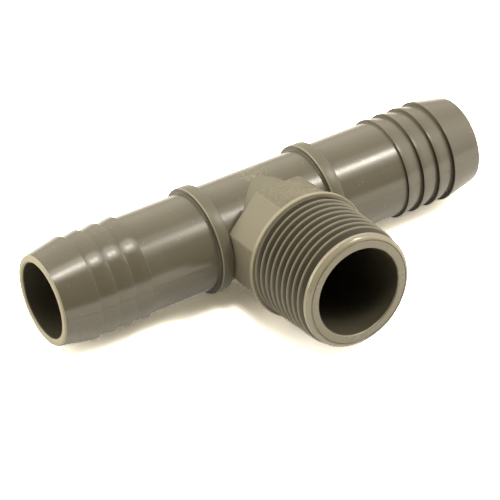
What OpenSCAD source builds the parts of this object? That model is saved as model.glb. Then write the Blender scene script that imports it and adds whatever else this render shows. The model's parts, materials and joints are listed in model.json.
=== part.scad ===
// Moulded plastic pipe tee: a barbed insert at each end of the run and a tapered male thread
// on the branch, with an octagonal wrench section between the run and the thread.
// Millimetres. The run lies along X, the branch points along -Y and Z is up. The origin is
// the point where the run's axis crosses the branch's axis.

/* [Run] */
// length of the run, from end face to end face
run_length = 102; // [80:0.1:140]
// outside diameter of the plain parts of the run, which fills the pipe's bore
run_d = 20.92; // [16:0.01:30]
// diameter of the bore through the run
run_bore_d = 16.16; // [10:0.01:24]

/* [Barbs] */
// number of barbs at each end
barb_count = 4; // [2:1:6]
// distance from one barb's edge to the next
barb_pitch = 3.98; // [2.5:0.01:6]
// distance from the end face to the first barb's edge
barb_lead = 7.8; // [4:0.1:12]
// diameter over the first barb
barb_first_d = 22.3; // [18:0.01:32]
// diameter over the other barbs
barb_d = 22.16; // [18:0.01:32]
// diameter at the foot of each barb's slope
barb_root_d = 20.6; // [15:0.01:29]
// diameter of the end face's outer edge
nose_d = 19.2; // [14:0.01:28]
// rounding where the end face meets the first slope
nose_round = 0.45; // [0.1:0.05:1]
// width of the flat on each barb's edge
barb_land = 0.2; // [0.1:0.05:0.6]

/* [Stop collars] */
// diameter of the two stop collars
collar_d = 23.1; // [20:0.01:34]
// width of each collar along the run
collar_w = 2.74; // [1.5:0.01:5]
// distance from the branch's axis to each collar's outer face
collar_x = 15.3; // [12:0.05:24]
// chamfer on the collars' edges
collar_chamfer = 0.25; // [0.1:0.05:0.6]

/* [Branch] */
// distance from the run's axis to the branch's end face
branch_length = 37.75; // [30:0.05:60]
// diameter of the short round neck between the run and the wrench section
neck_d = 20.7; // [16:0.01:28]
// diameter of the branch's bore from its mouth
branch_bore_d = 18.82; // [12:0.01:26]
// depth of that bore, measured from the branch's end face
branch_bore_depth = 22; // [14:0.1:40]
// length of the cone that leads from it to the run's bore
branch_bore_cone = 4.5; // [2:0.1:10]
// diameter of the passage where it enters the run
throat_d = 15.8; // [10:0.01:23]

/* [Wrench section] */
// size across the flats of the octagon
wrench_af = 24.8; // [20:0.01:40]
// distance from the run's axis to the octagon's back face
wrench_start = 9.6; // [6:0.05:16]
// distance from the run's axis to the shoulder ring's back face
wrench_end = 19.05; // [12:0.05:30]
// diameter of the round shoulder ring in front of the octagon
ring_d = 27.54; // [22:0.01:44]
// thickness of the shoulder ring
ring_t = 0.93; // [0.5:0.01:3]

/* [Tapered thread] */
// distance from one crest to the next
thread_pitch = 1.814; // [1:0.001:3]
// distance from the run's axis to the first whole crest
thread_start = 20.19; // [16:0.01:32]
// diameter over the first whole crest
thread_crest_d = 26.27; // [20:0.01:42]
// distance from the thread's end to the rounded lip
thread_gap = 0.16; // [0.05:0.01:3]
// depth from crest to root
thread_depth = 1.3; // [0.5:0.01:2]
// width of the flat on the crest
thread_flat = 0.16; // [0.05:0.01:0.4]
// taper on the diameter, one part in this many
thread_taper = 16; // [10:1:40]
// steps in each turn of the thread
thread_steps = 48; // [24:4:96]

/* [Branch lip] */
// length of the rounded lip in front of the thread
lip_length = 1.8; // [1:0.05:4]
// diameter over the rounded lip
lip_d = 24.5; // [18:0.01:38]
// outer diameter of the flat end face inside the lip
lip_face_d = 22.1; // [15:0.01:34]

/* [View] */
// sub-part to draw

/* [Hidden] */
$fn = 96;
half_run = run_length / 2;
octagon_r = wrench_af / 2 / cos(22.5);
ring_end = wrench_end + ring_t;
lip_start = branch_length - lip_length;
thread_turns = (lip_start - thread_gap - thread_start) / thread_pitch;
// overlap between solids that are joined or cut
cut = 1;
// depth of the thread ridge's foot inside the core
thread_foot = 0.09;
// turns of thread before the first whole crest, and the turns over which its ends rise and fall
lead_in = 0.5;
fade_in = 0.2;
fade_out = 0.3;
ridge_steps = round((lead_in + thread_turns) * thread_steps);

// radius of the thread's crest at a distance y along the branch
function crest_r(y) = thread_crest_d / 2 - (y - thread_start) / (2 * thread_taper);
function root_r(y) = crest_r(y) - thread_depth;

// the run, as a half outline that is mirrored and turned about X

// the edge of barb n, counted from the end face, lies this far from the branch's axis
function barb_x(n) = half_run - barb_lead - n * barb_pitch;
function barb_r(n) = (n == 0 ? barb_first_d : barb_d) / 2;

// points of the half outline are [radius, distance], from the end face inwards
function nose_points() = [
    for (a = [0, 30, 60, 90])
        [nose_d / 2 - nose_round * (1 - sin(a)),
         half_run - nose_round * (1 - cos(a))]
];
function barb_points(n) = [
    [barb_r(n), barb_x(n) + barb_land],
    [barb_r(n), barb_x(n)],
    [(n == barb_count - 1 ? run_d : barb_root_d) / 2, barb_x(n)]
];
function collar_points() = [
    [run_d / 2, collar_x],
    [collar_d / 2 - collar_chamfer, collar_x],
    [collar_d / 2, collar_x - collar_chamfer],
    [collar_d / 2, collar_x - collar_w + collar_chamfer],
    [collar_d / 2 - collar_chamfer, collar_x - collar_w],
    [run_d / 2, collar_x - collar_w]
];
function half_outline() = concat(
    nose_points(),
    [for (n = [0 : barb_count - 1]) each barb_points(n)],
    collar_points()
);
function mirrored(points) = [
    for (i = [len(points) - 1 : -1 : 0]) [points[i][0], -points[i][1]]
];

module run_outside() {
    rotate([0, 90, 0])
        rotate_extrude()
            polygon(concat(
                [[0, half_run]],
                half_outline(),
                mirrored(half_outline()),
                [[0, -half_run]]
            ));
}

// the branch, built along +Z and then turned to point along -Y

module neck() {
    cylinder(h = wrench_start + cut, d = neck_d);
}

module wrench_section() {
    translate([0, 0, wrench_start])
        rotate([0, 0, 22.5])
            cylinder(h = wrench_end - wrench_start + ring_t / 2, r = octagon_r, $fn = 8);
}

module shoulder_ring() {
    edge = ring_t / 5;
    rotate_extrude()
        polygon([
            [0, wrench_end],
            [ring_d / 2 - edge, wrench_end],
            [ring_d / 2, wrench_end + edge],
            [ring_d / 2, ring_end - edge],
            [ring_d / 2 - edge, ring_end],
            [0, ring_end]
        ]);
}

module thread_core() {
    from = ring_end - cut;
    to = lip_start + cut;
    translate([0, 0, from])
        cylinder(h = to - from, r1 = root_r(from), r2 = root_r(to));
}

// right-hand helical ridge with 60 degree flanks
function ridge_turn(i) = -lead_in + i / thread_steps;
function ridge_y(i) = thread_start + ridge_turn(i) * thread_pitch;
function ridge_height(i) =
    let (
        t = ridge_turn(i),
        rise = min(1, (t + lead_in) / fade_in),
        fall = min(1, (thread_turns - t) / fade_out)
    )
    thread_depth * (0.12 + 0.88 * min(rise, fall));
function ridge_section(i) =
    let (
        y = ridge_y(i),
        a = 180 + 360 * ridge_turn(i),
        h = ridge_height(i),
        foot = root_r(y) - thread_foot,
        top = root_r(y) + h,
        half_top = thread_flat / 2,
        half_foot = half_top + (h + thread_foot) * tan(30),
        c = cos(a),
        s = sin(a)
    )
    [
        [foot * c, foot * s, y - half_foot],
        [top * c, top * s, y - half_top],
        [top * c, top * s, y + half_top],
        [foot * c, foot * s, y + half_foot]
    ];

module thread_ridge() {
    points = [for (i = [0 : ridge_steps]) each ridge_section(i)];
    sides = [
        for (i = [0 : ridge_steps - 1], k = [0 : 3])
            let (
                a = 4 * i + k,
                b = 4 * i + (k + 1) % 4,
                c = a + 4,
                d = b + 4
            )
            each [[a, b, d], [a, d, c]]
    ];
    last = 4 * ridge_steps;
    ends = [
        [0, 3, 2], [0, 2, 1],
        [last, last + 1, last + 2], [last, last + 2, last + 3]
    ];
    polyhedron(points = points, faces = concat(sides, ends));
}

module lip() {
    r = lip_d / 2;
    f = lip_face_d / 2;
    foot = root_r(lip_start);
    d = lip_length;
    rotate_extrude()
        polygon([
            [0, lip_start - cut],
            [foot, lip_start - cut],
            [foot, lip_start],
            [r - 0.25, lip_start + 0.1 * d],
            [r, lip_start + 0.28 * d],
            [r, lip_start + 0.52 * d],
            [r - 0.14, lip_start + 0.62 * d],
            [r - 0.26, lip_start + 0.62 * d],
            [r - 0.4, lip_start + 0.78 * d],
            [(r + f) / 2 - 0.08, lip_start + 0.93 * d],
            [f, branch_length],
            [0, branch_length]
        ]);
}

module branch_outside() {
    rotate([90, 0, 0]) {
        neck();
        wrench_section();
        shoulder_ring();
        thread_core();
        thread_ridge();
        lip();
    }
}

// the passages

module run_bore() {
    rotate([0, 90, 0])
        cylinder(h = run_length + 2 * cut, d = run_bore_d, center = true);
}

module branch_bore() {
    straight = branch_length - branch_bore_depth;
    rotate([90, 0, 0]) {
        cylinder(h = straight, d = throat_d);
        translate([0, 0, straight - branch_bore_cone])
            cylinder(h = branch_bore_cone, d1 = throat_d, d2 = branch_bore_d);
        translate([0, 0, straight])
            cylinder(h = branch_bore_depth + cut, d = branch_bore_d);
    }
}

module tee_body() {
    color([0.50, 0.48, 0.41])
        difference() {
            union() {
                run_outside();
                branch_outside();
            }
            run_bore();
            branch_bore();
        }
}

tee_body();
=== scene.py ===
"""Moulded plastic pipe tee: barbed inserts at both ends of the run and a tapered male thread.

The packed model gives the frame, in metres: the run lies along X, the branch points along -Y
and Z is up. The piece is modelled here in millimetres and made metres at the end.
"""

import json
import math

import bmesh
import bpy
from mathutils import Matrix, Vector


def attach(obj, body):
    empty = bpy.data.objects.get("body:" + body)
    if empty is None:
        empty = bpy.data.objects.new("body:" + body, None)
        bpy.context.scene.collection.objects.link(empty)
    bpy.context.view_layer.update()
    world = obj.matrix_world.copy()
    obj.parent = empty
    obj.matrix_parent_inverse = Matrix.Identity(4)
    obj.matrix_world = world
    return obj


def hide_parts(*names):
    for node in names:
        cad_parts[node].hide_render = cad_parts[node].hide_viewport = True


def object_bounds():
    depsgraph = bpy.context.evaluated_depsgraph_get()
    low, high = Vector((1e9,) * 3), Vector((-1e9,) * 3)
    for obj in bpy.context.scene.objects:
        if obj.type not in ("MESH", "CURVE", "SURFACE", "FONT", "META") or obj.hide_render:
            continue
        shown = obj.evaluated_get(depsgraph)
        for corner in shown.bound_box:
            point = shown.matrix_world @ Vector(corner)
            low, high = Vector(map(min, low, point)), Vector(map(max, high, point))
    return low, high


bl_info = {
    "name": "Moulded pipe tee",
    "version": (1, 0, 0),
    "blender": (4, 5, 0),
    "location": "3D View > Sidebar > Pipe tee",
    "description": "Builds a moulded plastic pipe tee with its finish and a plain studio stage",
    "category": "Add Mesh",
}

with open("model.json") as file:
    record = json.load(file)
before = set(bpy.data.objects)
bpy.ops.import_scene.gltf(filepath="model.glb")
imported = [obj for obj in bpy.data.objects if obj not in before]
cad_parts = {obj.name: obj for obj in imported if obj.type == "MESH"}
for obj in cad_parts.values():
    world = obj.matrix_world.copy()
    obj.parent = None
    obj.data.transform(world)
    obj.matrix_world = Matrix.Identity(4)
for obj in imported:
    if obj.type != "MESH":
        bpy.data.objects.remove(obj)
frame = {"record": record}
CAD_LOW, CAD_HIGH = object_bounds()
MOUNTS = {mount["name"]: mount["dims"] for mount in frame["record"]["mounts"]}
# millimetres in a metre
MM = 1000.0
# how far a cut runs on past the face that it opens, in metres
OVERCUT = 0.001
# how far the shoulder ring stays inside the CAD model's box, in metres
HAIR = 2e-6
# steps in which a corner is rounded, and a corner of the thread's crest
ROUNDING_STEPS = 3
CREST_STEPS = 2
# corners closer than this become one, after a turn and after the joins, in millimetres
WELD_TURNED = 1e-5
WELD_JOINED = 2e-4
# sides of the wrench section
SIDES = 8
# radius at which the thread's ridge is spun before it is seated on its core, in millimetres
SPIN_RADIUS = 40.0
# how far the ridge's foot is sunk in the core, so that they join, in millimetres
RIDGE_SUNK = 0.12
# an edge that turns by less than this is shaded smooth
SHARP_TURN = math.radians(32)
# how far past a surface a face's middle may lie and still count as on it, in metres
SLACK = 0.00004
# how far the finish of an edge reaches from the edge, in metres
EDGE_BAND = 0.0003
# a face whose normal goes along the run by more than this share stands square to the run
SQUARE_ON = 0.95
# how far inside the run's outside the throat's wall begins, in metres
THROAT_WALL = 0.004


def length(name, description, default, low=0.0, high=1.0):
    """A size in metres."""
    return bpy.props.FloatProperty(
        name=name,
        description=description,
        default=default,
        min=low,
        max=high,
        precision=5,
        unit="LENGTH",
        subtype="DISTANCE",
    )


def number(name, description, default, low, high):
    """A plain number of no unit."""
    return bpy.props.FloatProperty(
        name=name, description=description, default=default, min=low, max=high
    )


def share(name, description, default):
    """A number from 0 to 1."""
    return bpy.props.FloatProperty(
        name=name, description=description, default=default, min=0.0, max=1.0, subtype="FACTOR"
    )


def angle(name, description, degrees):
    """An angle, given here in degrees."""
    return bpy.props.FloatProperty(
        name=name, description=description, default=math.radians(degrees), subtype="ANGLE"
    )


def count(name, description, default, low, high):
    """A whole number."""
    return bpy.props.IntProperty(
        name=name, description=description, default=default, min=low, max=high
    )


def colour(name, description, default):
    """A colour in linear light."""
    return bpy.props.FloatVectorProperty(
        name=name,
        description=description,
        default=default,
        size=3,
        min=0.0,
        max=10.0,
        subtype="COLOR",
    )


class RunSizes(bpy.types.PropertyGroup):
    """Sizes of the run, its barbs and its stop collars."""

    half: length("Half length", "From the branch's axis to an end face", CAD_HIGH.x)
    radius: length("Radius", "Outside radius of the plain run", MOUNTS["left_insert"]["r_mm"] / MM)
    bore: length("Bore radius", "Radius of the run's passage", MOUNTS["run_bore"]["r_mm"] / MM)
    mouth_depth: length("Mouth depth", "Depth of the bore's widened mouths", 0.0003)
    mouth_wider: length("Mouth widening", "Added to the bore's radius at its mouths", 0.0004)
    nose: length("Nose radius", "Radius of the end face's outer edge", 0.0096)
    nose_soft: length("Nose rounding", "Rounding of the end face's outer edge", 0.0004)
    barb_lead: length("First barb", "From the end face to the first barb's edge", 0.0078)
    barb_pitch: length("Barb pitch", "From one barb's edge to the next", 0.00398)
    barbs: count("Barbs", "Barbs at each end", 4, 1, 8)
    barb_first: length("First barb radius", "Radius over the first barb", 0.01115)
    barb_radius: length("Barb radius", "Radius over the other barbs", 0.01108)
    barb_root: length("Barb root radius", "Radius at the foot of each barb's slope", 0.0103)
    collar_face: length("Collar place", "From the branch's axis to a collar's outer face", 0.0153)
    collar_width: length("Collar width", "Width of a collar along the run", 0.00274)
    collar_radius: length("Collar radius", "Radius over the collars", CAD_HIGH.y)
    soft_edge: length("Soft edge", "Rounding of the moulded edges", 0.00016)


class BranchSizes(bpy.types.PropertyGroup):
    """Sizes of the neck, the wrench section, the shoulder ring and the lip."""

    reach: length("Reach", "From the run's axis to the branch's end face", -CAD_LOW.y)
    neck: length("Neck radius", "Radius of the round neck behind the octagon", 0.01035)
    across_flats: length("Across flats", "Width of the octagon over its flats", 0.0248)
    octagon_start: length("Octagon start", "From the run's axis to the octagon's back", 0.0096)
    octagon_soft: length("Octagon rounding", "Rounding of the octagon's edges", 0.0003)
    ring_start: length("Ring start", "From the run's axis to the shoulder ring's back", 0.01905)
    ring_width: length("Ring width", "Thickness of the shoulder ring", 0.00093)
    ring_radius: length("Ring radius", "Radius of the shoulder ring", CAD_HIGH.z - HAIR)
    bore: length("Bore radius", "Radius of the bore", MOUNTS["branch_bore"]["r_mm"] / MM)
    bore_depth: length("Bore depth", "Depth of the bore", MOUNTS["branch_bore"]["length_mm"] / MM)
    bore_cone: length("Bore cone", "Length of the cone at the bore's bottom", 0.0045)
    throat: length("Throat radius", "Radius of the way into the run", 0.0079)
    mouth_depth: length("Mouth depth", "Depth of the bore's widened mouth", 0.0002)
    mouth_wider: length("Mouth widening", "Added to the bore's radius at its mouth", 0.00022)
    lip_length: length("Lip length", "Length of the rounded lip", 0.0018)
    lip_radius: length("Lip radius", "Radius over the lip", 0.01225)
    face_radius: length("Face radius", "Outer radius of the flat end face", 0.01105)
    groove: length("Groove", "Depth of the fine groove round the end face", 0.0002)


class ThreadSizes(bpy.types.PropertyGroup):
    """Sizes of the tapered thread."""

    pitch: length("Pitch", "From one crest to the next", 0.001814)
    start: length("Start", "From the run's axis to the first whole crest", 0.02019)
    crest: length("Crest radius", "Radius over the first whole crest", 0.013135)
    depth: length("Depth", "From crest to root", 0.0013)
    crest_flat: length("Crest flat", "Width of the flat on the crest", 0.00016)
    crest_soft: length("Crest rounding", "Rounding of the crest's edges", 0.00007)
    gap: length("Gap", "From the thread's end to the lip", 0.00016)
    flank: angle("Flank angle", "From a flank to a plane across the thread", 30.0)
    taper: number("Taper", "One part in this many, on the diameter", 16.0, 4.0, 100.0)
    lead_in: number("Lead-in", "Turns from the ridge's start to its first crest", 0.5, 0.0, 1.0)
    rising: number("Rising turns", "Turns over which the ridge rises at its start", 0.2, 0.1, 1.0)
    fading: number("Fading turns", "Turns over which the ridge fades at its end", 0.3, 0.1, 1.0)
    least: share("Least height", "The ridge's height at its ends, as a share of the whole", 0.12)


class TeeLook(bpy.types.PropertyGroup):
    """Colours and finish of the plastic, and how finely the piece is turned."""

    plastic: colour("Plastic", "Colour of the moulded plastic", (0.172, 0.153, 0.107))
    dust: colour("Dust", "Colour of the specks of dust", (0.55, 0.52, 0.45))
    roughness: share("Roughness", "Roughness of the smooth moulded faces", 0.2)
    mottle: share("Mottle", "How far the plastic's shade varies", 0.1)
    gate: length("Gate mark", "Radius of the torn spot where the plastic came in", 0.0038)
    segments: count("Segments", "Steps in a full turn", 192, 48, 384)
    thread_segments: count("Thread segments", "Steps in a turn of the thread", 96, 24, 192)


class StageLook(bpy.types.PropertyGroup):
    """The floor, the lamps and the room's light."""

    light: colour("Light", "Colour of the lamps and the room's light", (1.0, 0.96, 0.86))
    floor: colour("Floor", "Colour of the floor", (0.66, 0.65, 0.62))
    floor_seen: colour("Floor, seen", "The floor's colour to the camera", (5.1, 5.0, 4.85))
    floor_mirrored: colour("Floor, mirrored", "The floor in reflections", (1.15, 1.11, 1.04))
    floor_glow: share("Floor glow", "Least brightness of the floor in reflections", 0.36)
    floor_radius: length("Floor radius", "Radius of the floor", 3.0, high=10.0)
    tilt: angle("Tilt", "Lean of the tee on the floor", 6.29)
    drop: length("Drop", "From the run's axis down to the floor", 0.01157)
    room: share("Room light", "Brightness of the room's light", 1.0)


def settings(name):
    """One of the property groups kept on the scene."""
    return getattr(bpy.context.scene, name)


def bevel(bm, geom, offset, segments, affect):
    """Rounds corners or edges, by an offset in millimetres."""
    bmesh.ops.bevel(
        bm,
        geom=geom,
        offset=offset,
        offset_type="OFFSET",
        segments=segments,
        profile=0.5,
        affect=affect,
        material=-1,
        clamp_overlap=True,
    )


def rotate(bm, radians, axis):
    """Turns everything about an axis through the origin."""
    turn = Matrix.Rotation(radians, 3, axis)
    bmesh.ops.rotate(bm, verts=bm.verts[:], cent=(0, 0, 0), matrix=turn)


def lay_along_run(bm):
    """Turns a solid from Z to X."""
    rotate(bm, math.pi / 2, "Y")
    return bm


def point_along_branch(bm):
    """Turns a solid from Z to -Y."""
    rotate(bm, math.pi / 2, "X")
    return bm


def half_outline(points, soft):
    """A wire through points given as (radius, height), with some corners rounded."""
    bm = bmesh.new()
    verts = [bm.verts.new((radius * MM, 0.0, height * MM)) for radius, height in points]
    for first, second in zip(verts, verts[1:]):
        bm.edges.new((first, second))
    for index, size in sorted(soft.items()):
        bevel(bm, [verts[index]], size * MM, ROUNDING_STEPS, "VERTICES")
    return bm


def divide_long_edges(bm, longest):
    """Cuts the wire's long edges, so that the turned faces stay short."""
    for edge in list(bm.edges):
        cuts = int(edge.calc_length() / longest)
        if cuts:
            bmesh.ops.subdivide_edges(bm, edges=[edge], cuts=cuts)


def turned(points, soft, longest=1.5):
    """A closed solid turned about Z from a half outline that starts and ends on the axis.

    The points are (radius, height) in metres, soft gives the rounding at some of them, and
    longest is the length in millimetres past which a face along the outline is divided.
    """
    bm = half_outline(points, soft)
    divide_long_edges(bm, longest)
    bmesh.ops.spin(
        bm,
        geom=bm.verts[:] + bm.edges[:],
        cent=(0, 0, 0),
        axis=(0, 0, 1),
        angle=2 * math.pi,
        steps=settings("tee_look").segments,
        use_merge=True,
    )
    bmesh.ops.remove_doubles(bm, verts=bm.verts[:], dist=WELD_TURNED)
    bmesh.ops.recalc_face_normals(bm, faces=bm.faces[:])
    return bm


def mirrored(points, soft):
    """The outline of one half of the run, carried on down the other half."""
    last = 2 * len(points) - 1
    other_half = [(radius, -height) for radius, height in reversed(points)]
    other_soft = {last - index: size for index, size in soft.items()}
    return points + other_half, {**soft, **other_soft}


def temporary(bm, name):
    """Puts a solid in an object of its own until it is joined to the piece."""
    open_edges = [edge for edge in bm.edges if len(edge.link_faces) != 2]
    if open_edges:
        raise RuntimeError(f"{name} has {len(open_edges)} open edges")
    if bm.calc_volume(signed=True) < 0:
        bmesh.ops.reverse_faces(bm, faces=bm.faces[:])
    mesh = bpy.data.meshes.new(name)
    bm.to_mesh(mesh)
    bm.free()
    made = bpy.data.objects.new(name, mesh)
    bpy.context.scene.collection.objects.link(made)
    return made


def keep_result(body, modifier):
    """Makes a modifier's result the body's own mesh."""
    bpy.context.view_layer.update()
    graph = bpy.context.evaluated_depsgraph_get()
    mesh = bpy.data.meshes.new_from_object(body.evaluated_get(graph))
    body.modifiers.remove(modifier)
    old = body.data
    body.data = mesh
    bpy.data.meshes.remove(old)


def combine(body, other, operation):
    """Joins another solid to the body or cuts it out, and removes the other."""
    modifier = body.modifiers.new("combine", "BOOLEAN")
    modifier.operation = operation
    modifier.object = other
    modifier.solver = "MANIFOLD"
    keep_result(body, modifier)
    mesh = other.data
    bpy.data.objects.remove(other)
    bpy.data.meshes.remove(mesh)


def run_solid():
    """The run without its bore: two barbed ends and two stop collars."""
    run = settings("tee_run")
    points = [(0, run.half), (run.nose, run.half)]
    soft = {1: run.nose_soft}
    for barb in range(run.barbs):
        edge = run.half - run.barb_lead - barb * run.barb_pitch
        over = run.barb_first if barb == 0 else run.barb_radius
        foot = run.radius if barb == run.barbs - 1 else run.barb_root
        soft[len(points)] = run.soft_edge
        soft[len(points) + 1] = run.soft_edge * 0.5
        points += [(over, edge), (foot, edge)]
    rounded, filleted = run.soft_edge * 1.5, run.soft_edge * 0.6
    inner_face = run.collar_face - run.collar_width
    for radius, height, size in (
        (run.radius, run.collar_face, filleted),
        (run.collar_radius, run.collar_face, rounded),
        (run.collar_radius, inner_face, rounded),
        (run.radius, inner_face, filleted),
    ):
        soft[len(points)] = size
        points.append((radius, height))
    return lay_along_run(turned(*mirrored(points, soft)))


def wrench_section():
    """The octagon between the neck and the shoulder ring, with soft edges."""
    branch = settings("tee_branch")
    bm = bmesh.new()
    half_side = math.pi / SIDES
    corner = branch.across_flats / 2 / math.cos(half_side)
    high = branch.ring_start + branch.ring_width / 2 - branch.octagon_start
    bmesh.ops.create_cone(
        bm,
        cap_ends=True,
        segments=SIDES,
        radius1=corner * MM,
        radius2=corner * MM,
        depth=high * MM,
        matrix=Matrix.Translation((0, 0, (branch.octagon_start + high / 2) * MM))
        @ Matrix.Rotation(half_side, 4, "Z"),
    )
    bevel(bm, bm.edges[:], branch.octagon_soft * MM, ROUNDING_STEPS, "EDGES")
    return point_along_branch(bm)


def branch_core():
    """The turned body of the branch: neck, shoulder ring, thread core and rounded lip."""
    branch = settings("tee_branch")
    ring_end = branch.ring_start + branch.ring_width
    lip = branch.reach - branch.lip_length
    band_start, band_end = lip + 0.05 * branch.lip_length, lip + 0.62 * branch.lip_length
    rim = branch.face_radius
    points = [
        # the neck, a little wider inside the octagon
        (0, 0),
        (branch.neck, 0),
        (branch.neck, branch.octagon_start + 0.001),
        (branch.neck + 0.001, branch.ring_start),
        # the shoulder ring
        (branch.ring_radius, branch.ring_start),
        (branch.ring_radius, ring_end),
        # the thread's core
        (root_radius(ring_end), ring_end),
        (root_radius(lip), lip),
        # the lip's band, and its shoulder down to the end face
        (branch.lip_radius, band_start),
        (branch.lip_radius, band_end),
        (branch.lip_radius - 0.00022, band_end + 0.04 * branch.lip_length),
        (rim + 0.0006, branch.reach - 0.00012),
        (rim + 0.0003, branch.reach - 0.00006),
        # the fine groove, and the end face inside it
        (rim + 0.0002, branch.reach - branch.groove),
        (rim + 0.0001, branch.reach - branch.groove),
        (rim, branch.reach),
        (0, branch.reach),
    ]
    # the rounding of the ring's corners, the core's foot, the lip and the end face's edge
    soft = {4: 0.00015, 5: 0.0002, 6: 0.0001, 8: 0.0003, 9: 0.0002, 11: 0.0003, 15: 0.00008}
    return point_along_branch(turned(points, soft))


def crest_radius(height):
    """Radius over the thread's crest at a height along the branch."""
    thread = settings("tee_thread")
    return thread.crest - (height - thread.start) / (2 * thread.taper)


def root_radius(height):
    """Radius at the thread's root at a height along the branch."""
    return crest_radius(height) - settings("tee_thread").depth


def thread_ridge():
    """The helical ridge: one section spun up the branch, then tapered and faded at its ends."""
    branch, thread = settings("tee_branch"), settings("tee_thread")
    steps = settings("tee_look").thread_segments
    lip = branch.reach - branch.lip_length
    turns = (lip - thread.gap - thread.start) / thread.pitch
    total = round((thread.lead_in + turns) * steps)
    foot, top = -RIDGE_SUNK, thread.depth * MM
    half_top = thread.crest_flat / 2 * MM
    half_foot = half_top + (top - foot) * math.tan(thread.flank)
    bm = bmesh.new()
    corners = [(foot, -half_foot), (top, -half_top), (top, half_top), (foot, half_foot)]
    verts = [bm.verts.new((SPIN_RADIUS + across, 0, up)) for across, up in corners]
    bm.faces.new(verts)
    bevel(bm, [verts[1], verts[2]], thread.crest_soft * MM, CREST_STEPS, "VERTICES")
    first = (thread.start - thread.lead_in * thread.pitch) * MM
    bmesh.ops.translate(bm, verts=bm.verts[:], vec=(0, 0, first))
    rotate(bm, start_angle(), "Z")
    bmesh.ops.spin(
        bm,
        geom=bm.verts[:] + bm.edges[:] + bm.faces[:],
        cent=(0, 0, 0),
        axis=(0, 0, 1),
        dvec=(0, 0, thread.pitch * MM / steps),
        angle=2 * math.pi * total / steps,
        steps=total,
    )
    for vert in bm.verts:
        seat_on_core(vert, first, turns)
    bmesh.ops.recalc_face_normals(bm, faces=bm.faces[:])
    return point_along_branch(bm)


def start_angle():
    """Where round the branch the ridge starts, so that its first whole crest is at -X."""
    return math.pi - settings("tee_thread").lead_in * 2 * math.pi


def seat_on_core(vert, first, turns):
    """Moves a vertex of the straight ridge onto the tapered core, lower near the ridge's ends."""
    thread = settings("tee_thread")
    pitch = thread.pitch * MM
    around = (math.atan2(vert.co.y, vert.co.x) - start_angle()) / (2 * math.pi)
    along = (vert.co.z - first) / pitch
    turn = around + round(along - around)
    across = math.hypot(vert.co.x, vert.co.y) - SPIN_RADIUS
    if across > 0:
        left = thread.lead_in + turns - turn
        rise = max(0.0, min(1.0, turn / thread.rising, left / thread.fading))
        across *= thread.least + (1 - thread.least) * rise
    radius = root_radius((first + turn * pitch) / MM) * MM + across
    vert.co.xy = vert.co.xy.normalized() * radius


def run_passage():
    """What is cut out for the run's bore, with softened mouths."""
    run = settings("tee_run")
    mouth = run.bore + run.mouth_wider
    points = [
        (0, run.half + OVERCUT),
        (mouth, run.half + OVERCUT),
        (mouth, run.half),
        (run.bore, run.half - run.mouth_depth),
    ]
    return lay_along_run(turned(*mirrored(points, {3: 0.0002}), longest=2.0))


def branch_passage():
    """What is cut out for the branch's bore, its cone and the throat."""
    branch = settings("tee_branch")
    straight = branch.reach - branch.bore_depth
    mouth = branch.bore + branch.mouth_wider
    points = [
        (0, 0),
        (branch.throat, 0),
        (branch.throat, straight - branch.bore_cone),
        (branch.bore, straight),
        (branch.bore, branch.reach - branch.mouth_depth),
        (mouth, branch.reach),
        (mouth, branch.reach + OVERCUT),
        (0, branch.reach + OVERCUT),
    ]
    return point_along_branch(turned(points, {3: 0.0004, 4: 0.0002}, longest=2.0))


# How each finish differs from the smooth plastic: its shade as a multiple of the plastic's
# colour, what it adds to the roughness, a multiple of the mottle, its relief and its dust. A
# finish with a paler shade goes from one to the other by its place on the piece. Several shades
# are painted light: the bores, the recesses, the collars' sides and the thread's roots are painted
# dark as shade, the end faces, the lip, the rims, the barbs' crests and the thread's crests are
# painted pale as highlights, and the octagon's top is painted darker than its sides as shade.
FINISHES = {
    "polished": {"shade": 1.0, "rougher": 0.0, "mottle": 1.0, "relief": 0.12, "dust": 0.3},
    "collar": {"shade": 1.08, "rougher": 0.14, "mottle": 1.6, "relief": 0.3, "dust": 0.2},
    "collar_side_shade": {"shade": 0.55, "rougher": 0.2, "mottle": 1.0, "relief": 0.2, "dust": 0.0},
    "neck": {"shade": 1.3, "rougher": 0.25, "mottle": 2.5, "relief": 0.5, "dust": 0.3},
    "grained": {"shade": 1.6, "rougher": 0.35, "mottle": 2.0, "relief": 0.5, "dust": 0.3},
    "speckled_and_shaded": {"shade": 1.22, "rougher": 0.35, "mottle": 10.0, "relief": 1.0, "dust": 0.5},
    "thread": {
        "shade": 0.5, "paler": 1.8, "rougher": 0.2, "mottle": 1.4, "relief": 0.2, "dust": 0.2
    },
    "lip": {"shade": 1.75, "rougher": 0.05, "mottle": 1.6, "relief": 0.2, "dust": 0.2},
    "lip_band_highlight": {"shade": 2.2, "rougher": 0.0, "mottle": 1.6, "relief": 0.2, "dust": 0.2},
    "bore": {"shade": 0.55, "rougher": 0.12, "mottle": 1.0, "relief": 0.1, "dust": 0.0},
    "end": {"shade": 2.8, "rougher": 0.25, "mottle": 0.6, "relief": 0.2, "dust": 0.0},
    "edge": {"shade": 2.3, "rougher": 0.2, "mottle": 1.5, "relief": 0.2, "dust": 0.0},
    "barb_edge_highlight": {"shade": 1.5, "rougher": 0.2, "mottle": 1.5, "relief": 0.2, "dust": 0.0},
    "recess_shade": {
        "shade": 0.16, "paler": 0.8, "rougher": 0.3, "mottle": 1.0, "relief": 0.2, "dust": 0.0
    },
}


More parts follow.
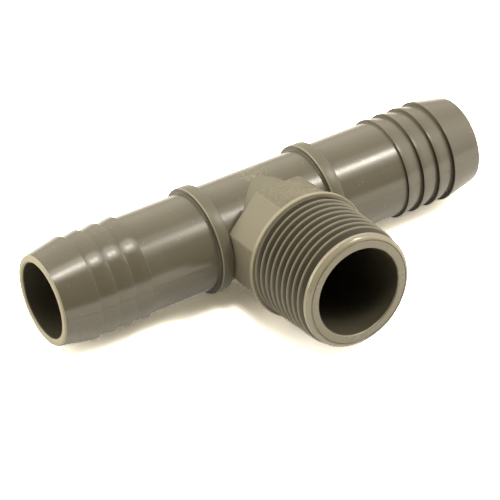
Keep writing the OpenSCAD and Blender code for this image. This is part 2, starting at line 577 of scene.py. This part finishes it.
def in_bores(at):
    """Whether a place is on the wall of the run's bore, the branch's bore or the throat."""
    run, branch = settings("tee_run"), settings("tee_branch")
    along, reach = abs(at.x), -at.y
    from_run, from_branch = math.hypot(at.y, at.z), math.hypot(at.x, at.z)
    in_run = from_run < run.bore + SLACK
    in_branch = from_branch < branch.bore + SLACK and 0 < reach < branch.reach - EDGE_BAND / 2
    on_run_wall = in_run and along < run.half - EDGE_BAND
    on_branch_wall = in_branch and (in_run or reach > run.radius - THROAT_WALL)
    return on_run_wall or on_branch_wall


def branch_finish(face, reach, from_branch):
    """The finish of a face on the outside of the branch."""
    branch = settings("tee_branch")
    ring_end = branch.ring_start + branch.ring_width
    on_ring = branch.ring_start - SLACK < reach < ring_end + SLACK
    # the shoulder ring's rim is painted pale, a painted highlight
    if on_ring and from_branch > branch.ring_radius - EDGE_BAND:
        return "edge"
    # the lip and the end face are painted pale, and the lip's outer band paler, as painted
    # highlights
    if reach > branch.reach - branch.lip_length:
        return "lip_band_highlight" if from_branch > branch.face_radius + EDGE_BAND else "lip"
    if reach > ring_end - SLACK:
        return "thread"
    # the octagon's top and upper right faces are speckled and painted darker than its other faces,
    # as shade
    if reach > branch.octagon_start - SLACK:
        return "speckled_and_shaded" if face.normal.z > 0.5 and face.normal.x > -0.3 else "grained"
    # the neck's flanks lie in the narrow space beside the collars and are painted dark, as shade
    return "recess_shade" if abs(face.normal.x) > 0.8 else "neck"


def run_finish(face, at, from_run):
    """The finish of a face on the outside of the run."""
    run = settings("tee_run")
    along = abs(at.x)
    # the end faces are painted pale, standing in for the light that falls on them
    if along > run.half - EDGE_BAND:
        return "end"
    on_collar = run.collar_face - run.collar_width - SLACK < along < run.collar_face + SLACK
    if on_collar and from_run > run.radius + 0.0002:
        # a collar's flat sides are painted dark, as shade
        if abs(face.normal.x) > SQUARE_ON:
            return "collar_side_shade"
        # a collar's rim is painted pale along its left edge, a painted highlight of the light from
        # the left
        return "edge" if face.normal.x < -0.25 else "collar"
    to_middle = -face.normal.x if at.x > 0 else face.normal.x
    # faces of the barbs turned to the run's middle: their steps are painted dark, as shade
    if along > run.collar_face and to_middle > 0.3:
        on_edge = from_run > run.barb_radius - 0.00012 and to_middle < SQUARE_ON
        # the barbs' crest edges are painted pale, a painted highlight
        return "barb_edge_highlight" if on_edge else "recess_shade"
    return "polished"


def finish_of(face):
    """Which of the plastic's finishes a face has, by its place while in millimetres."""
    run, branch = settings("tee_run"), settings("tee_branch")
    at = face.calc_center_median() / MM
    # the walls of the bores are painted darker, as shade
    if in_bores(at):
        return "bore"
    reach, from_run = -at.y, math.hypot(at.y, at.z)
    # the run's own faces lie within its radius, and the branch's stand out of it
    in_front = reach > 0 and abs(at.x) < branch.across_flats / 2 + SLACK
    if reach > branch.ring_start - SLACK or (in_front and from_run > run.radius + 0.000005):
        return branch_finish(face, reach, math.hypot(at.x, at.z))
    return run_finish(face, at, from_run)


def finish_mesh(body):
    """Gives each face its finish and brings the piece to metres, smooth between its corners."""
    bm = bmesh.new()
    bm.from_mesh(body.data)
    bmesh.ops.remove_doubles(bm, verts=bm.verts[:], dist=WELD_JOINED)
    bmesh.ops.dissolve_degenerate(bm, edges=bm.edges[:], dist=WELD_JOINED / 2)
    bmesh.ops.recalc_face_normals(bm, faces=bm.faces[:])
    finishes = list(FINISHES)
    for face in bm.faces:
        face.smooth = True
        face.material_index = finishes.index(finish_of(face))
    for edge in bm.edges:
        edge.smooth = edge.calc_face_angle(0.0) < SHARP_TURN
    bmesh.ops.scale(bm, verts=bm.verts[:], vec=(1 / MM, 1 / MM, 1 / MM))
    bm.to_mesh(body.data)
    bm.free()
    modifier = body.modifiers.new("flat_faces", "WEIGHTED_NORMAL")
    modifier.mode = "FACE_AREA"
    modifier.keep_sharp = True
    keep_result(body, modifier)


class PIPE_TEE_OT_moulding(bpy.types.Operator):
    """Build the tee as one moulding, with its barbs, octagon, thread and bores"""

    bl_idname = "pipe_tee.moulding"
    bl_label = "Tee moulding"
    bl_options = {"REGISTER", "UNDO"}

    def execute(self, context):
        body = temporary(run_solid(), "tee_moulding")
        combine(body, temporary(branch_core(), "core"), "UNION")
        combine(body, temporary(wrench_section(), "octagon"), "UNION")
        combine(body, temporary(thread_ridge(), "ridge"), "UNION")
        combine(body, temporary(run_passage(), "run_passage"), "DIFFERENCE")
        combine(body, temporary(branch_passage(), "branch_passage"), "DIFFERENCE")
        body.data.materials.clear()
        surface = plastic_surface_group()
        for name in FINISHES:
            body.data.materials.append(moulded_plastic(name, surface))
        finish_mesh(body)
        body.data.name = "tee_moulding"
        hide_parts("tee_body")
        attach(body, "root")
        return {"FINISHED"}


def node(tree, kind, place, inputs=None, **options):
    """A shader node at a place in the tree. Each input is given a value, or a socket to link."""
    made = tree.nodes.new(kind)
    made.location = place
    for name, value in options.items():
        setattr(made, name, value)
    for name, value in (inputs or {}).items():
        if isinstance(value, bpy.types.NodeSocket):
            tree.links.new(value, made.inputs[name])
        else:
            made.inputs[name].default_value = value
    return made


def place_on_piece(tree, place):
    """The socket that gives the place on the object, in metres."""
    return node(tree, "ShaderNodeTexCoord", place).outputs["Object"]


def maths(tree, place, operation, *values):
    """The result of one operation on values or sockets."""
    inputs = dict(enumerate(values))
    return node(tree, "ShaderNodeMath", place, inputs, operation=operation).outputs[0]


def smooth_step(tree, place, value, start, end):
    """0 where a value is at its start and before, 1 at its end and past it, smooth between."""
    inputs = {"Value": value, "From Min": start, "From Max": end}
    kind = "ShaderNodeMapRange"
    return node(tree, kind, place, inputs, interpolation_type="SMOOTHSTEP").outputs[0]


def mixed(tree, place, amount, first, second):
    """A colour that goes from the first to the second."""
    inputs = {0: amount, 6: first, 7: second}
    return node(tree, "ShaderNodeMix", place, inputs, data_type="RGBA").outputs[2]


def opaque(rgb, times=1.0):
    """A colour with full alpha, made darker or lighter."""
    return (*(times * value for value in rgb), 1)


def plastic_surface_group():
    """Shade, roughness and fine relief of moulded plastic, as one shader node group."""
    group = bpy.data.node_groups.new("moulded_surface", "ShaderNodeTree")
    sockets = group.interface
    sockets.new_socket("Colour", in_out="INPUT", socket_type="NodeSocketColor")
    for name in ("Roughness", "Mottle", "Relief", "Dust"):
        sockets.new_socket(name, in_out="INPUT", socket_type="NodeSocketFloat")
    sockets.new_socket("Colour", in_out="OUTPUT", socket_type="NodeSocketColor")
    sockets.new_socket("Roughness", in_out="OUTPUT", socket_type="NodeSocketFloat")
    sockets.new_socket("Normal", in_out="OUTPUT", socket_type="NodeSocketVector")
    given = node(group, "NodeGroupInput", (-1100, 0)).outputs
    place = place_on_piece(group, (-1100, -350))

    # a shade that varies in clouds and in fine grain
    cloud = node(
        group, "ShaderNodeTexNoise", (-800, 250),
        {"Vector": place, "Scale": 140.0, "Detail": 3.0, "Roughness": 0.6},
    )
    grain = node(
        group, "ShaderNodeTexNoise", (-800, 0),
        {"Vector": place, "Scale": 1500.0, "Detail": 4.0, "Roughness": 0.6},
    )
    both = maths(group, (-550, 200), "ADD", cloud.outputs["Fac"], grain.outputs["Fac"])
    uneven = maths(group, (-380, 200), "SUBTRACT", both, 1.0)
    tint = maths(group, (-210, 200), "MULTIPLY_ADD", uneven, given["Mottle"], 1.0)
    tinted = node(
        group, "ShaderNodeVectorMath", (0, 200), {0: given["Colour"], "Scale": tint},
        operation="SCALE",
    )

    # a speck of dust at the middle of a few of the cells
    cells = node(group, "ShaderNodeTexVoronoi", (-800, 600), {"Vector": place, "Scale": 1100.0})
    chance = node(group, "ShaderNodeSeparateColor", (-600, 700), {0: cells.outputs["Color"]})
    few = maths(group, (-400, 700), "GREATER_THAN", chance.outputs[0], 0.93)
    small = node(
        group, "ShaderNodeMapRange", (-400, 500),
        {
            "Value": cells.outputs["Distance"],
            "From Min": 0.08, "From Max": 0.2, "To Min": 1.0, "To Max": 0.0,
        },
    )
    specks = maths(group, (-200, 600), "MULTIPLY", few, small.outputs[0])
    dust = maths(group, (0, 600), "MULTIPLY", specks, given["Dust"])
    dust_colour = opaque(settings("tee_look").dust)
    dusty = mixed(group, (250, 300), dust, tinted.outputs[0], dust_colour)

    # roughness that goes with the shade, and the low relief of moulded plastic
    rough = maths(group, (0, 0), "MULTIPLY_ADD", uneven, 0.12, given["Roughness"])
    peel = node(
        group, "ShaderNodeTexNoise", (-800, -300), {"Vector": place, "Scale": 650.0, "Detail": 2.0}
    )
    bump = node(
        group, "ShaderNodeBump", (250, -250),
        {"Distance": 0.00002, "Strength": given["Relief"], "Height": peel.outputs["Fac"]},
    )
    results = {"Colour": dusty, "Roughness": rough, "Normal": bump.outputs["Normal"]}
    node(group, "NodeGroupOutput", (700, 0), results)
    return group


def moulded_plastic(name, surface_group):
    """Grey-olive plastic with one of its finishes, some of which hold painted shade or highlights.
    """
    look, finish = settings("tee_look"), FINISHES[name]
    material = bpy.data.materials.new(name + "_plastic")
    material.use_nodes = True
    tree = material.node_tree
    shader = tree.nodes["Principled BSDF"]
    tone = opaque(look.plastic, finish["shade"])
    # the thread's crests are painted pale as highlights and its roots dark as shade
    if name == "thread":
        tone = crest_highlight_root_shade(tree, tone, opaque(look.plastic, finish["paler"]))
    # the recesses are painted dark as shade, less so higher up the run
    if name == "recess_shade":
        tone = painted_shade_below(tree, tone, opaque(look.plastic, finish["paler"]))
    surface = node(
        tree, "ShaderNodeGroup", (-300, 0),
        {
            "Colour": tone,
            "Roughness": look.roughness + finish["rougher"],
            "Mottle": look.mottle * finish["mottle"],
            "Relief": finish["relief"],
            "Dust": finish["dust"],
        },
        node_tree=surface_group,
    )
    shader.inputs["IOR"].default_value = 1.5 if finish["rougher"] > 0.1 else 1.62
    results = {
        "Base Color": surface.outputs["Colour"],
        "Roughness": surface.outputs["Roughness"],
        "Normal": surface.outputs["Normal"],
    }
    if name == "polished":
        results = with_gate_mark(tree, results)
        results["Normal"] = with_parting_line(tree, results["Normal"])
    for socket, result in results.items():
        tree.links.new(result, shader.inputs[socket])
    return material


def crest_highlight_root_shade(tree, root_tone, crest_tone):
    """Painted highlight and shade: a colour that is lighter on the thread's crests and darker in
    its roots.
    """
    thread = settings("tee_thread")
    parts = node(
        tree, "ShaderNodeSeparateXYZ", (-1500, -300), {0: place_on_piece(tree, (-1700, -300))}
    )
    flat = node(
        tree, "ShaderNodeCombineXYZ", (-1300, -200),
        {"X": parts.outputs["X"], "Z": parts.outputs["Z"]},
    )
    across = node(
        tree, "ShaderNodeVectorMath", (-1100, -200), {0: flat.outputs[0]}, operation="LENGTH"
    )
    slope = 1 / (2 * thread.taper)
    straight = maths(
        tree, (-1100, -400), "MULTIPLY_ADD", parts.outputs["Y"], -slope, across.outputs["Value"]
    )
    crest = thread.crest + slope * thread.start
    on_crest = smooth_step(tree, (-900, -300), straight, crest - 0.0004, crest - 0.0001)
    return mixed(tree, (-600, -200), on_crest, root_tone, crest_tone)


def painted_shade_below(tree, low_tone, top_tone):
    """Painted shade: a colour that goes from near black below to the plastic's own on top of the
    run.
    """
    parts = node(
        tree, "ShaderNodeSeparateXYZ", (-1200, -300), {0: place_on_piece(tree, (-1400, -300))}
    )
    high = smooth_step(tree, (-1000, -300), parts.outputs["Z"], 0.003, 0.0115)
    return mixed(tree, (-600, -200), high, low_tone, top_tone)


def with_gate_mark(tree, surface):
    """Adds a round torn spot on top of the run, where the plastic came in and was cut off."""
    look = settings("tee_look")
    place = place_on_piece(tree, (-1300, 700))
    gate = (0.0, 0.0, settings("tee_run").radius)
    away = node(
        tree, "ShaderNodeVectorMath", (-1100, 700), {0: place, 1: gate}, operation="DISTANCE"
    )
    near = smooth_step(tree, (-900, 700), away.outputs["Value"], look.gate, 0.5 * look.gate)
    grain = node(
        tree, "ShaderNodeTexNoise", (-1100, 400), {"Vector": place, "Scale": 1700.0, "Detail": 3.0}
    )
    torn = node(
        tree, "ShaderNodeMapRange", (-900, 400),
        {"Value": grain.outputs["Fac"], "From Min": 0.42, "From Max": 0.6},
    )
    mark = maths(tree, (-700, 500), "MULTIPLY", near, torn.outputs[0])
    raised = node(
        tree, "ShaderNodeBump", (-300, -250),
        {"Distance": 0.00008, "Strength": 0.6, "Height": mark, "Normal": surface["Normal"]},
    )
    paler = opaque(look.plastic, 1.7)
    return {
        "Base Color": mixed(tree, (-50, 500), mark, surface["Base Color"], paler),
        "Roughness": maths(tree, (-50, 250), "MULTIPLY_ADD", near, 0.3, surface["Roughness"]),
        "Normal": raised.outputs["Normal"],
    }


def with_parting_line(tree, normal):
    """Adds a fine raised line along the run, where the halves of the mould met."""
    parts = node(
        tree, "ShaderNodeSeparateXYZ", (-900, -500), {0: place_on_piece(tree, (-1100, -500))}
    )
    off = maths(tree, (-700, -500), "ABSOLUTE", parts.outputs["Z"])
    near = smooth_step(tree, (-500, -500), off, 0.00012, 0.0)
    raised = node(
        tree, "ShaderNodeBump", (-50, -400),
        {"Distance": 0.00006, "Strength": 0.5, "Height": near, "Normal": normal},
    )
    return raised.outputs["Normal"]


def floor_finish():
    """Pale floor: white to the camera and in reflections, and it keeps the shadow."""
    stage = settings("tee_stage")
    material = bpy.data.materials.new("pale_floor")
    material.use_nodes = True
    tree = material.node_tree
    tree.nodes.remove(tree.nodes["Principled BSDF"])
    rays = node(tree, "ShaderNodeLightPath", (-1000, 300)).outputs

    # its colour to each kind of ray, dimmer far away in reflections
    place = place_on_piece(tree, (-1600, 0))
    away = node(tree, "ShaderNodeVectorMath", (-1400, 0), {0: place}, operation="LENGTH")
    near = node(
        tree, "ShaderNodeMapRange", (-1200, 0),
        {
            "Value": away.outputs["Value"],
            "From Min": 0.15, "From Max": 1.2, "To Min": 1.0, "To Max": 0.4,
        },
        interpolation_type="SMOOTHSTEP",
    )
    dimmed = node(
        tree, "ShaderNodeVectorMath", (-1000, 0),
        {0: stage.floor_mirrored, "Scale": near.outputs[0]}, operation="SCALE",
    )
    mirrored_floor = mixed(
        tree, (-750, 200), rays["Is Glossy Ray"], opaque(stage.floor), dimmed.outputs[0]
    )
    seen = mixed(
        tree, (-500, 200), rays["Is Camera Ray"], mirrored_floor, opaque(stage.floor_seen)
    )
    diffuse = node(tree, "ShaderNodeBsdfDiffuse", (-250, 200), {"Color": seen}).outputs[0]

    # reflections also see a glow where the shadow lies, and the floor is clear from below
    glow = node(
        tree, "ShaderNodeEmission", (-500, -200),
        {"Color": opaque(stage.light), "Strength": stage.floor_glow},
    )
    lit = node(tree, "ShaderNodeAddShader", (-250, -150), {0: diffuse, 1: glow.outputs[0]})
    above = node(
        tree, "ShaderNodeMixShader", (-50, -100),
        {0: rays["Is Glossy Ray"], 1: diffuse, 2: lit.outputs[0]},
    )
    clear = node(tree, "ShaderNodeBsdfTransparent", (-250, 0))
    side = node(tree, "ShaderNodeNewGeometry", (-250, 450))
    both = node(
        tree, "ShaderNodeMixShader", (150, 200),
        {0: side.outputs["Backfacing"], 1: above.outputs[0], 2: clear.outputs[0]},
    )
    tree.links.new(both.outputs[0], tree.nodes["Material Output"].inputs["Surface"])
    return material


def lay_floor():
    """A wide floor under the tee, which rests on its collars and its shoulder ring."""
    stage = settings("tee_stage")
    bm = bmesh.new()
    bmesh.ops.create_circle(bm, cap_ends=True, segments=64, radius=stage.floor_radius)
    bmesh.ops.translate(bm, verts=bm.verts[:], vec=(0, 0, -stage.drop))
    rotate(bm, stage.tilt, "X")
    bmesh.ops.recalc_face_normals(bm, faces=bm.faces[:])
    for face in bm.faces:
        if face.normal.z < 0:
            face.normal_flip()
    mesh = bpy.data.meshes.new("floor")
    bm.to_mesh(mesh)
    bm.free()
    floor = bpy.data.objects.new("floor", mesh)
    bpy.context.scene.collection.objects.link(floor)
    mesh.materials.append(floor_finish())


# Each lamp's place in metres, on axes that lean with the floor and start at the origin, then its
# width in metres and its power in watts. The wider ones soften what the two small ones light.
LAMPS = {
    "lamp_left": ((-0.045, -0.085, 0.5), 0.08, 0.25),
    "lamp_left_soft": ((-0.035, -0.06, 0.5), 0.26, 0.6),
    "lamp_right": ((0.32, -0.21, 0.5), 0.1, 0.42),
    "lamp_right_soft": ((0.3, -0.22, 0.5), 0.2, 0.45),
    "lamp_right_wide": ((0.26, -0.2, 0.5), 0.42, 0.5),
}


def lamp(name, at, width, power):
    """A round soft lamp over the floor, turned to the tee."""
    stage = settings("tee_stage")
    light = bpy.data.lights.new(name, "AREA")
    light.shape = "DISK"
    light.size = width
    light.energy = power
    light.color = stage.light
    made = bpy.data.objects.new(name, light)
    bpy.context.scene.collection.objects.link(made)
    made.location = Matrix.Rotation(stage.tilt, 3, "X") @ Vector(at)
    made.rotation_mode = "QUATERNION"
    made.rotation_quaternion = (-made.location).to_track_quat("-Z", "Y")


# Each patch of light's direction, in degrees clockwise from +Y and above the horizon, and its
# strength at its middle.
ROOM = {
    "window low at the left": (300, 3, 5.4),
    "window at the left": (312, 28, 1.0),
    "window's upper part": (315, 52, 0.85),
    "wall behind": (15, 28, 0.9),
    "wall behind, right": (45, 30, 0.7),
    "wall behind, higher": (45, 52, 0.3),
    "wall at the right": (105, 28, 1.65),
    "wall low at the right": (120, 3, 0.95),
    "ceiling": (0, 78, 0.42),
    "ceiling in front": (200, 66, 0.1),
}
# how quickly a patch fades away from its middle
PATCH_SHARPNESS = 10.0


def toward(azimuth, height):
    """The direction of a patch of light, from its two angles in degrees."""
    turn, rise = math.radians(azimuth), math.radians(height)
    level = math.cos(rise)
    return Vector((level * math.sin(turn), level * math.cos(turn), math.sin(rise)))


def room_light():
    """Soft patches of light all round but not on the camera's side, and white to the camera."""
    stage = settings("tee_stage")
    world = bpy.data.worlds.new("room")
    bpy.context.scene.world = world
    world.use_nodes = True
    tree = world.node_tree
    place = node(tree, "ShaderNodeTexCoord", (-1700, 0)).outputs["Generated"]
    total = 0.0
    for row, (azimuth, height, strength) in enumerate(ROOM.values()):
        level = 300 - 180 * row
        facing = node(
            tree, "ShaderNodeVectorMath", (-1500, level), {0: place, 1: toward(azimuth, height)},
            operation="DOT_PRODUCT",
        ).outputs["Value"]
        spread = maths(
            tree, (-1300, level), "MULTIPLY_ADD", facing, PATCH_SHARPNESS, -PATCH_SHARPNESS
        )
        glow = maths(tree, (-1100, level), "EXPONENT", spread)
        total = maths(tree, (-900, level), "MULTIPLY_ADD", glow, strength * stage.room, total)
    seen = node(tree, "ShaderNodeLightPath", (-650, 300)).outputs["Is Camera Ray"]
    brightness = node(
        tree, "ShaderNodeMix", (-400, 100), {0: seen, 2: total, 3: 1.0}, data_type="FLOAT"
    )
    shade = tree.nodes["Background"]
    tint = mixed(tree, (-400, -150), seen, opaque(stage.light), (1.0, 1.0, 1.0, 1))
    tree.links.new(tint, shade.inputs["Color"])
    tree.links.new(brightness.outputs[0], shade.inputs["Strength"])


# The camera's place in metres, its turn as a quaternion, and its lens and sensor in millimetres,
# all fitted to the edges of the tee in the photograph.
CAMERA_PLACE = (-0.220863, -0.381022, 0.258761)
CAMERA_TURN = (0.8308133, 0.4796402, -0.1049927, -0.2620516)
CAMERA_LENS = 176.66628
CAMERA_SENSOR = 36.0


def set_camera():
    """A long lens at the photograph's viewing angle."""
    camera = bpy.data.cameras.new("camera")
    camera.sensor_width = CAMERA_SENSOR
    camera.lens = CAMERA_LENS
    camera.clip_start, camera.clip_end = 0.02, 20.0
    made = bpy.data.objects.new("camera", camera)
    bpy.context.scene.collection.objects.link(made)
    made.location = CAMERA_PLACE
    made.rotation_mode = "QUATERNION"
    made.rotation_quaternion = CAMERA_TURN
    bpy.context.scene.camera = made


class PIPE_TEE_OT_stage(bpy.types.Operator):
    """Set the floor, the lamps, the room's light and the camera"""

    bl_idname = "pipe_tee.stage"
    bl_label = "Stage"
    bl_options = {"REGISTER", "UNDO"}

    def execute(self, context):
        lay_floor()
        for name, (at, width, power) in LAMPS.items():
            lamp(name, at, width, power)
        room_light()
        set_camera()
        context.scene.view_settings.view_transform = "Standard"
        return {"FINISHED"}


class PIPE_TEE_PT_panel(bpy.types.Panel):
    """The tee's sizes and colours, and the buttons that build it"""

    bl_idname = "PIPE_TEE_PT_panel"
    bl_label = "Pipe tee"
    bl_space_type = "VIEW_3D"
    bl_region_type = "UI"
    bl_category = "Pipe tee"

    def draw(self, context):
        layout = self.layout
        for operator in (PIPE_TEE_OT_moulding, PIPE_TEE_OT_stage):
            layout.operator(operator.bl_idname)
        for name, group in GROUPS.items():
            box = layout.box()
            box.label(text=group.__doc__)
            for prop in group.__annotations__:
                box.prop(getattr(context.scene, name), prop)


GROUPS = {
    "tee_run": RunSizes,
    "tee_branch": BranchSizes,
    "tee_thread": ThreadSizes,
    "tee_look": TeeLook,
    "tee_stage": StageLook,
}
CLASSES = (*GROUPS.values(), PIPE_TEE_OT_moulding, PIPE_TEE_OT_stage, PIPE_TEE_PT_panel)


def register():
    """Registers the classes and puts the property groups on the scene."""
    for each in CLASSES:
        bpy.utils.register_class(each)
    for name, group in GROUPS.items():
        setattr(bpy.types.Scene, name, bpy.props.PointerProperty(type=group))


def unregister():
    """Takes the property groups and the classes away."""
    for name in GROUPS:
        delattr(bpy.types.Scene, name)
    for each in reversed(CLASSES):
        bpy.utils.unregister_class(each)


def main():
    """Builds the tee and its stage."""
    register()
    bpy.ops.pipe_tee.moulding()
    bpy.ops.pipe_tee.stage()


if __name__ == "__main__":
    main()
